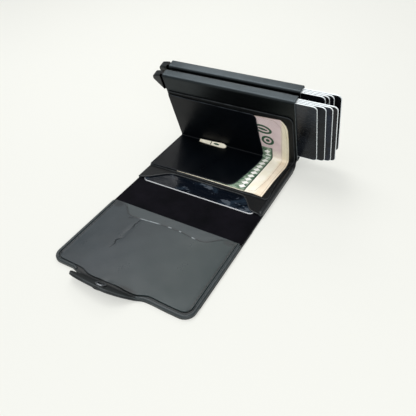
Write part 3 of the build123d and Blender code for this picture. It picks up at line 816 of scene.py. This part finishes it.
TAB_EDGE = (
    from_fold(TAB_V, [(-36, -1.6), (-33, -1.5), (-28, -0.2), (-25.0, 1.2), (-25.6, 2.2), (-27.2, 2.4)])
    + from_fold(TAB_V, [(-29.4, 2.9), (-30.0, 4.2), (-28.6, 6.4), (-24.8, 8.2)])
    + from_fold(TAB_V, [
        (-20, 9.2), (-14, 10.0), (-6, 10.6), (-1.5, 10.7), (2, 10.1), (5.5, 8.6),
        (9.5, 6.3), (12.5, 3.6), (15.5, 1.0), (18.9, -0.7), (24, -1.2), (36, -0.9),
    ])
)
END_V = TAB_V - 1.6
END_SKEW = 0.7


def flap_end(side, back, corner, edge_v):
    """Outline of the flap's end with the tab: side is its half width, back its near edge."""
    right = [(side, back)] + arc(side - corner, edge_v + END_SKEW - corner, corner, 0, 90)
    left = arc(-side + corner, edge_v - corner, corner, 90, 180) + [(-side, back)]
    return right + TAB_EDGE[::-1] + left


CUT_V = 146.0
COVER_CORNER = 3.5
SLIP_HALF = 50.5
# Two lengths of the cover run this far into the next, a hair higher, so no seam shows outside
TUCK = 0.8
TUCK_Z = 0.02


def back_corners(half):
    """The rounded back corners of a sheet on the base: the right one upwards, the left one downwards."""
    middle, v = half - COVER_CORNER, BASE_BACK + COVER_CORNER
    return arc(middle, v, COVER_CORNER, -90, 0), arc(-middle, v, COVER_CORNER, 180, 270)


right, left = back_corners(HALF)
cover_base = Piece().sheet(
    right + [(HALF, MID_SPINE + TUCK), (-HALF, MID_SPINE + TUCK)] + left,
    flat, TUCK_Z, COVER_T, 0.5, 1.8,
)
cover_base = bend_spine(cover_base.make("cover_over_base", COVER_LEATHER, "cover_leather"))
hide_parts("outer_cover_base")
cover_flap = Piece().sheet(
    [(HALF, MID_SPINE), (HALF, CUT_V), (-HALF, CUT_V), (-HALF, MID_SPINE)], flat, 0, COVER_T, 0.05, 1.8
)
cover_flap = bend_flap(cover_flap.make("cover_over_flap", COVER_MIDDLE, "cover_leather"))
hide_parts("outer_cover_spine", "outer_cover_flap")
cover_end = Piece().sheet(flap_end(HALF, CUT_V - TUCK, 7.0, END_V), flat, TUCK_Z, 1.05, 0.4, 1.2)
cover_end = bend_tab(cover_end.make("cover_end_and_tab", COVER_LEATHER, "cover_leather"))
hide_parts("closing_tab")

# The tab's inner leather: a second layer that ends under the flap's pocket
tab_lining = Piece().sheet(flap_end(HALF - 2, CUT_V, 5.0, END_V), flat, 1.05, 1.9, 0.35, 1.2)
tab_lining = bend_tab(tab_lining.make("tab_lining", TAB_LEATHER, "cover_leather"))

# ---- Linings ----

right, left = back_corners(HALF - 0.5)
base_lining = Piece().sheet(
    right + [(HALF - 0.5, MID_SPINE), (-HALF + 0.5, MID_SPINE)] + left,
    flat, COVER_T, LINING_T, 0.2, 1.2,
)
base_lining = bend_spine(base_lining.make("lining_over_base", SUEDE, "lining_suede"))
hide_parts("base_lining")
LINING_END = FLAP_V + 1.3
spine_lining = Piece().sheet(
    [(HALF - 0.5, MID_SPINE), (HALF - 0.6, LINING_END), (-HALF + 0.6, LINING_END), (-HALF + 0.5, MID_SPINE)],
    flat, COVER_T, LINING_T + 0.04, 0.15, 1.5,
)
spine_lining = bend_flap(spine_lining.make("lining_over_spine", SUEDE, "lining_suede"))
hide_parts("spine_lining")
flap_lining = Piece().sheet(
    [(HALF - 2, FLAP_V + 1.1), (HALF - 2, CUT_V), (-HALF + 2, CUT_V), (-HALF + 2, FLAP_V + 1.1)],
    flat, COVER_T, LINING_T, 0.1, 2.5,
)
flap_lining = bend_flap(flap_lining.make("flap_lining_leather", DIP_LEATHER, "lining_suede"))
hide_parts("flap_lining")

# ---- Flap pocket and rolled border ----

WAVE = from_fold(FLAP_V, [
    (-48.2, 1.7), (-44, 1.8), (-38.5, 3.1), (-34.5, 7.2), (-29.9, 10.2), (-20, 10.3), (-5.8, 9.1),
    (9.7, 8.9), (21.2, 10.4), (29.2, 9.8), (33.5, 6.6), (37, 3.8), (42, 2.1), (48.2, 1.7),
])
STITCH_X = 47.2
DENT = ((-19.5, 100), (-22.5, 132))
SNAP_X = (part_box("snap_stud")[0].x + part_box("snap_stud")[1].x) / 2 / MM


def pocket_relief(x, v):
    """The pocket's soft surface: a crown, a stitching groove, a long dent, and a hollow for the stud."""
    near = min(HALF - 2 - abs(x), v - FLAP_V - 8, 155.0 - v)
    edge = max(0.0, min(1.0, near / 9.0))
    groove = math.exp(-(((abs(x) - STITCH_X) / 0.45) ** 2)) * 0.22
    crown = 0.18 * edge - groove
    (x0, v0), (x1, v1) = DENT
    dx, dv = x1 - x0, v1 - v0
    t = ((x - x0) * dx + (v - v0) * dv) / (dx * dx + dv * dv)
    off = abs((x - x0) * dv - (v - v0) * dx) / math.hypot(dx, dv)
    crown -= 0.16 * edge * math.exp(-((off / 1.2) ** 2)) * max(0.0, 1 - abs(2 * t - 1) ** 3)
    hollow = 0.3 * math.exp(-(((x - SNAP_X) / 2.6) ** 2)) * max(0.0, min(1.0, (v - TAB_V + 5.0) / 2.0))
    return crown - hollow + 0.03 * edge * math.sin(x * 0.35 + 0.6) * math.sin(v * 0.27)


LOWER_POCKET = (
    arc(43.0, 148.3, 5.2, 0, 90) + spline([
        (38, 153.6), (30, 153.4), (22.4, 153.2), (18.5, 154.2), (14.5, 155.8), (8.7, 156.2),
        (0, 155.6), (-9, 155.9), (-17, 156.2), (-22, 155.6), (-27, 154.0), (-36, 153.6),
    ])
    + arc(-43.0, 148.3, 5.2, 90, 180)
)
flap_pocket = Piece().sheet(
    WAVE + LOWER_POCKET, flat, LINING_T, FLAP_TOP - 0.1, 0.35, 1.6, relief=pocket_relief
)
flap_pocket = bend_tab(flap_pocket.make("flap_pocket_leather", FLAP_LEATHER, "cover_leather"))
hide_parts("flap_pocket")

wave_lip = [(x, v + 0.5) for x, v in WAVE[9:-9]]
wave_trim = Piece().rim(wave_lip, flat, 0.42, FLAP_TOP - 0.25, FLAP_TOP + 0.18, 1.0)
wave_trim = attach(wave_trim.make("flap_pocket_trim", TRIM_LEATHER, "edge_leather"), "flap")

BORDER_X = HALF - 1.15
BORDER_PATH = (
    [(-BORDER_X, FLAP_V + 2.4), (-BORDER_X, 130.0)]
    + arc(-HALF + 7.0, END_V - 7.0, 5.85, 180, 90)
    + from_fold(END_V - 1.15, [(-37, 0), (-33, 0.1), (-29.5, 1.4)])
)
BORDER_PATH_RIGHT = (
    [(BORDER_X, FLAP_V + 2.4), (BORDER_X, 130.0)]
    + arc(HALF - 7.0, END_V + END_SKEW - 7.0, 5.85, 0, 90)
    + from_fold(END_V - 1.15, [(37, END_SKEW), (28, 0.5), (22.5, 0.3), (18.7, 1.0), (15.0, 3.2)])
)
border = Piece().rim(BORDER_PATH, flat, 1.15, 0.9, 2.75).rim(BORDER_PATH_RIGHT, flat, 1.15, 0.9, 2.75)
border = bend_tab(border.make("flap_border", BORDER_LEATHER, "edge_leather"))
flap_thread = Piece()
for side in (-STITCH_X, STITCH_X):
    flap_thread.stitches([(side, FLAP_V + 4), (side, 147.0)], flat, FLAP_TOP, 2.6, 1.8, 0.62, 0.3)
    flap_thread.stitches([(side * 0.9, 151.8), (side * 0.55, 151.8)], flat, FLAP_TOP, 2.6, 1.8, 0.62, 0.3)
flap_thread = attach(flap_thread.make("flap_stitching", THREAD, "edge_leather"), "flap")

# ---- Slip pocket on the base ----

SLIP_EDGE = spline([
    (-50.5, 63.6), (-47.5, 63.2), (-42.2, 60.3), (-36.5, 55.6), (-31.5, 51.9), (-26.5, 50.3),
    (-12, 50.1), (10, 50.1),
    (28.4, 50.1), (33.5, 52.6), (38, 58.0), (41, 61.6), (45.5, 63.2), (50.5, 63.6),
])
right, left = back_corners(SLIP_HALF)
slip_pocket = Piece().sheet(
    [(-SLIP_HALF, 6), (-SLIP_HALF, 30)] + SLIP_EDGE + [(SLIP_HALF, 30), (SLIP_HALF, 6)]
    + right[::-1] + left[::-1],
    flat, SLIP_LOW, SLIP_TOP, 0.3, 2.0,
)
slip_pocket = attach(slip_pocket.make("slip_pocket_leather", POCKET_LEATHER, "cover_leather"), "base")
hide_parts("slip_pocket")
welt = Piece().sheet(
    [(-SLIP_HALF, 63.4), (-SLIP_HALF, BASE_BACK), (SLIP_HALF, BASE_BACK), (SLIP_HALF, 63.4)]
    + [(48.5, 63.4), (48.5, 4.4), (-48.5, 4.4), (-48.5, 63.4)],
    flat, LINING_T, SLIP_LOW, 0.2, 2.5,
)
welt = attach(welt.make("slip_pocket_welt", EDGE_LEATHER, "edge_leather"), "base")
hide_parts("slip_welt")
slip_lip = [(x, v - 0.45) for x, v in SLIP_EDGE[2:-2]]
slip_trim = Piece().rim(slip_lip, flat, 0.4, SLIP_TOP - 0.2, SLIP_TOP + 0.14, 1.0)
slip_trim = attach(slip_trim.make("slip_pocket_trim", EDGE_LEATHER, "edge_leather"), "base")
BORDER_Z = TRAY_Z - 0.35
border_path = [(49.2, 62.6), (49.2, 8.0)] + arc(46.6, 6.6, 2.6, 0, -80)
base_border = Piece().rim(border_path, flat, 1.7, 1.2, BORDER_Z)
base_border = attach(base_border.make("base_border", EDGE_LEATHER, "edge_leather"), "base")
base_thread = Piece().stitches([(48.9, 60.5), (48.9, 9.0)], flat, BORDER_Z)
base_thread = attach(base_thread.make("base_stitching", THREAD, "edge_leather"), "base")

# ---- Banknote holder over the crease ----

tray = Piece().sheet(
    [(-50.4, -48.2), (44.6, -48.4)] + arc(45.2, -45.4, 3.0, -80, 0)
    + spline([
        (48.2, -44), (47.4, -38), (46.6, -30.7), (46.2, -18), (46.3, -10), (47.6, -4), (49.2, 2), (50, 7),
    ])
    + arc(45.2, 43.6, 4.8, 0, 90) + [(-50.4, 48.4)],
    crease, -0.85, 0.0, 0.3, 1.6,
)
tray = bend_case(tray.make("tray_leather_sheet", TRAY_LEATHER, "tray_leather"))
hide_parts("tray_lower", "tray_upper")

SLOT = (
    spline([(-31.2, -0.4), (-27.5, -1.7), (-20, -2.2), (-11, -2.3)]) + arc(-9.3, 0.0, 2.3, -90, 90)
    + spline([(-11, 2.2), (-20, 1.9), (-27.5, 1.0), (-31.2, -0.1)])
)
leaf = Piece().sheet(
    [(-50.0, -47.9), (-20, -46.8), (15.5, -45.9)]
    + spline([
        (18.2, -44.6), (19.6, -42.4), (20.5, -40.2), (23.0, -25.9), (24.7, -12.8), (24.9, -3.5),
        (23.8, 0), (24.6, 6.5), (23.6, 20), (23.2, 30), (22.8, 39),
    ])
    + arc(19.0, 41.5, 3.8, 0, 90) + [(0, 45.5), (-30, 45.9), (-46, 46.4), (-49.6, 47.2), (-50.0, 45)],
    crease, 0.5, 1.1, 0.2, 1.6, holes=[SLOT],
)
leaf = bend_case(leaf.make("note_leaf", LEAF_LEATHER, "leaf_leather"))
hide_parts("leaf_lower", "leaf_upper")

# Three folded notes, each on the next: left end, bottom edge, right side, top edge
NOTE_LEFT = -26.5
LOW_RIGHT = [(43.5, -47), (44.1, -26.6), (45.5, -7.6), (45.0, -1.2), (45.9, 15.4), (46.2, 26.7)]
LOW_NOTE = (
    [(NOTE_LEFT, -47.0), (0, -46.8), (26.1, -46.9), (36.1, -46.3)] + LOW_RIGHT
    + [(46.0, 36.5), (45.0, 40.4), (42.9, 43.4), (40.9, 45.2), (22, 44.0), (NOTE_LEFT, 44.4)]
)
MIDDLE_NOTE = (
    [(NOTE_LEFT, -47.1), (0, -46.7), (26.1, -46.5), (36.1, -45.4)]
    + [(x - 1.3, s * 0.985) for x, s in LOW_RIGHT]
    + [(44.3, 35.7), (43.2, 39.6), (41.6, 42.6), (38.9, 44.9), (22, 43.9), (NOTE_LEFT, 44.3)]
)
TOP_NOTE = (
    [(NOTE_LEFT, -46.9), (0, -46.6), (24.0, -46.2), (33.6, -44.6), (36.5, -43.5), (39.5, -28.1), (40.2, -5.8)]
    + [(39.7, 7.5), (40.6, 20), (41.6, 32), (41.0, 37.2), (39.2, 40.3), (36.2, 43.2), (22, 43.9)]
    + [(NOTE_LEFT, 44.2)]
)
notes = Piece()
for outline, low, high in ((LOW_NOTE, 0.05, 0.15), (MIDDLE_NOTE, 0.18, 0.27), (TOP_NOTE, 0.32, 0.42)):
    notes.sheet(outline, crease, low, high, 0.04, 1.8)
notes = bend_case(notes.make("banknotes", NOTE, "note_paper"))
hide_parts("notes_lower", "notes_upper")


def ring(cx, cs, across, up, turn, count=28):
    """Closed oval about a centre, turned by degrees."""
    a = math.radians(turn)
    loop = []
    for i in range(count):
        t = 2 * math.pi * i / count
        x, s = across * math.cos(t), up * math.sin(t)
        loop.append((cx + x * math.cos(a) - s * math.sin(a), cs + x * math.sin(a) + s * math.cos(a)))
    return loop


# Generic engraved ornament: medallions above, a chain of lozenges below
PRINT = (0.41, 0.45, 0.015)  # underside, top and edge radius of the raised print
ornament = Piece()
for cx, cs, across, up, turn in ((26.6, 32.0, 7.2, 4.4, -10), (29.6, 20.6, 5.0, 4.8, 0)):
    hole = ring(cx, cs, across - 2.0, up - 1.9, turn)
    ornament.sheet(ring(cx, cs, across, up, turn), crease, *PRINT, 1.2, holes=[hole])
    ornament.sheet(ring(cx, cs, across - 3.4, up - 3.3, turn), crease, *PRINT, 1.0)
ornament = bend_case(ornament.make("note_ornament", INK, "note_paper"))
lozenges = Piece()
for i in range(12):
    cs = 7.5 - i * 4.5
    cx = 28.3 - max(0.0, -cs) * 0.05
    corners = [(cx - 2.9, cs - 0.4), (cx - 0.3, cs - 2.1), (cx + 2.5, cs + 0.3), (cx - 0.1, cs + 2.1)]
    lozenges.sheet(corners, crease, *PRINT, 1.0)
lozenges = bend_case(lozenges.make("note_lozenges", PALE_INK, "note_paper"))

# Folded note that shows through the leaf's slot
SLOT_NOTE = (
    spline([
        (-31.0, -4.4), (-26, -5.2), (-18, -5.8), (-11.5, -6.0), (-8.6, -5.3),
        (-7.1, -3.6), (-6.7, -1.6), (-7.4, 0.6), (-9.4, 2.2), (-12, 2.5),
    ])
    + spline([(-18, 1.6), (-26, 0.9), (-31.0, 0.5)])
)
slot_note = Piece().sheet(SLOT_NOTE, bridge, 1.12, 1.36, 0.1, 0.9)
slot_note = bend_case(slot_note.make("slot_note", SLOT_PAPER, "note_paper"))
slot_print = Piece()
slot_print.sheet([(-21.0, -5.3), (-20.3, -5.3), (-20.0, 1.1), (-20.7, 1.1)], bridge, 1.35, 1.39, 0.01, 0.9)
slot_print.sheet(ring(-15.6, -1.4, 2.6, 1.5, 0, 16), bridge, 1.35, 1.39, 0.01, 0.9)
slot_print = bend_case(slot_print.make("slot_note_print", INK, "note_paper"))

# ---- Outer leather behind the crease, middle panel and tapes ----

BAND = spline([
    (-7.0, 0.72), (-4.0, 0.72), (-1.6, 1.15), (-0.1, 2.6), (0.35, 4.4), (1.1, 5.95), (2.6, 6.72), (6.0, 7.84),
], 8)
STRIP_SLOPE = math.atan2(LEAN_COS, LEAN_SIN)


def band_path(length):
    """Middle line of the outer leather and its heading, length along it."""
    walked = 0.0
    for a, b in zip(BAND, BAND[1:]):
        run = math.dist(a, b)
        if length <= walked + run:
            t = (length - walked) / run
            return *between(a, b, t), heading_of(a, b)
        walked += run
    rest = length - walked
    return BAND[-1][0] + rest * math.cos(STRIP_SLOPE), BAND[-1][1] + rest * math.sin(STRIP_SLOPE), STRIP_SLOPE


def behind(x, length, h):
    """On the outer leather that runs round the crease and under the cases."""
    y, z, heading = band_path(length)
    return Vector((x, CREASE_Y + y - h * math.sin(heading), z + h * math.cos(heading))) * MM


BAND_LENGTH = sum(math.dist(a, b) for a, b in zip(BAND, BAND[1:])) + 12.0
# As wide as the cover behind the crease, and as narrow as the strip under the cases
BAND_SIDE = [(48.0, 0.0), (50.6, 3.0), (50.6, 13.5), (48.0, 16.0), (48.0, BAND_LENGTH)]
band = Piece().sheet(BAND_SIDE + [(-x, v) for x, v in BAND_SIDE[::-1]], behind, -0.6, 0.6, 0.35, 0.9)
band = band.make("crease_band", COVER_LEATHER, "cover_leather")
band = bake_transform(band)
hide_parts("bottom_strip")


def slab(node, soft, corner):
    """A sheet the size of a flat node of the case block."""
    origin = Vector((0, CREASE_Y, TRAY_Z)) * MM
    spots = [v.co - origin for v in frame["nodes"][node].data.vertices]
    s = [p.dot(Vector(UP_FACE)) / MM for p in spots]
    h = [-p.dot(LEAN_AXIS) / MM for p in spots]
    half = max(p.x for p in spots) / MM
    outline = (
        [(-half, min(s)), (half, min(s))]
        + arc(half - corner, max(s) - corner, corner, 0, 90)
        + arc(-half + corner, max(s) - corner, corner, 90, 180)
    )
    return Piece().sheet(outline, block, min(h), max(h), soft, 3.0)


middle = slab("middle_panel", 0.4, 3.5).make("middle_panel_leather", COVER_LEATHER, "cover_leather")
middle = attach(middle, "case_block")
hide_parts("middle_panel")
for tape in ("tray_tape", "front_case_tape", "rear_case_tape"):
    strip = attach(slab(tape, 0.05, 1.0).make(tape + "_foam", FOAM, "tape_foam"), "case_block")
    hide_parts(tape)

# ---- Floor, light and camera ----

floor_mesh = bpy.data.meshes.new("floor")
floor_mesh.from_pydata([(-3, -3, 0), (3, -3, 0), (3, 3, 0), (-3, 3, 0)], [], [(0, 1, 2, 3)])
floor = placed("floor", floor_mesh)
glow = {"Emission_Color": rgb("#f5f6f1"), "Emission_Strength": 0.535}
f = Finish("floor_paint", "Object", gloss=0.1, **glow)
tone = f.mix(f.noise(6, 2), "#9b9b96", "#9d9d98")
floor_mesh.materials.append(f.done(tone, f.span(f.noise(12), 0.3, 0.7, 0.85, 0.95)))

world = bpy.data.worlds.new("studio")
world.use_nodes = True
daylight = world.node_tree.nodes["Background"].inputs
daylight["Color"].default_value = (0.96, 0.98, 1.0, 1)
daylight["Strength"].default_value = 0.42
bpy.context.scene.world = world


def softbox(name, place, aim, size, power, colour=(1, 1, 1)):
    lamp = bpy.data.lights.new(name, "AREA")
    lamp.shape = "RECTANGLE"
    lamp.size, lamp.size_y = size
    lamp.energy = power
    lamp.color = colour
    o = placed(name, lamp)
    o.location = place
    o.rotation_euler = (Vector(aim) - Vector(place)).to_track_quat("-Z", "Y").to_euler()


sun = bpy.data.lights.new("sky_panel", "SUN")
sun.angle = math.radians(50)
sun.energy = 1.1
sky = placed("sky_panel", sun)
sky.rotation_euler = Vector((0.3, 0.3, -1)).to_track_quat("-Z", "Y").to_euler()
softbox("overhead", (-0.23, 0.1, 0.62), (0, 0.02, 0.06), (0.36, 0.36), 2.0)
softbox("fill", (0.38, -0.5, 0.3), (0.02, -0.04, 0.02), (0.4, 0.3), 1.7)
softbox("glint", (-0.25, 0.5, 0.5), (0, -0.05, 0), (0.25, 0.2), 0.8, (1, 0.99, 0.97))

lens = bpy.data.cameras.new("camera")
lens.lens = 38.41
lens.shift_x, lens.shift_y = -0.0027, 0.0015
lens.clip_start = 0.01
camera = placed("camera", lens)
DISTANCE = 0.3
azimuth, elevation, roll = math.radians(31.305), math.radians(40.842), math.radians(-3.147)
outward = Vector((math.sin(azimuth), -math.cos(azimuth), 0)) * math.cos(elevation)
back = outward + Vector((0, 0, math.sin(elevation)))
level = (-back).cross(Vector((0, 0, 1))).normalized()
upright = level.cross(-back)
right = level * math.cos(roll) + upright * math.sin(roll)
over = upright * math.cos(roll) - level * math.sin(roll)
target = Vector((0.01752, CREASE_Y * MM - 0.07546, 0.00598))
turn = Matrix((right, over, back)).transposed().to_4x4()
camera.matrix_world = Matrix.Translation(target + back * DISTANCE) @ turn
bpy.context.scene.camera = camera
bpy.context.scene.view_settings.view_transform = "Standard"
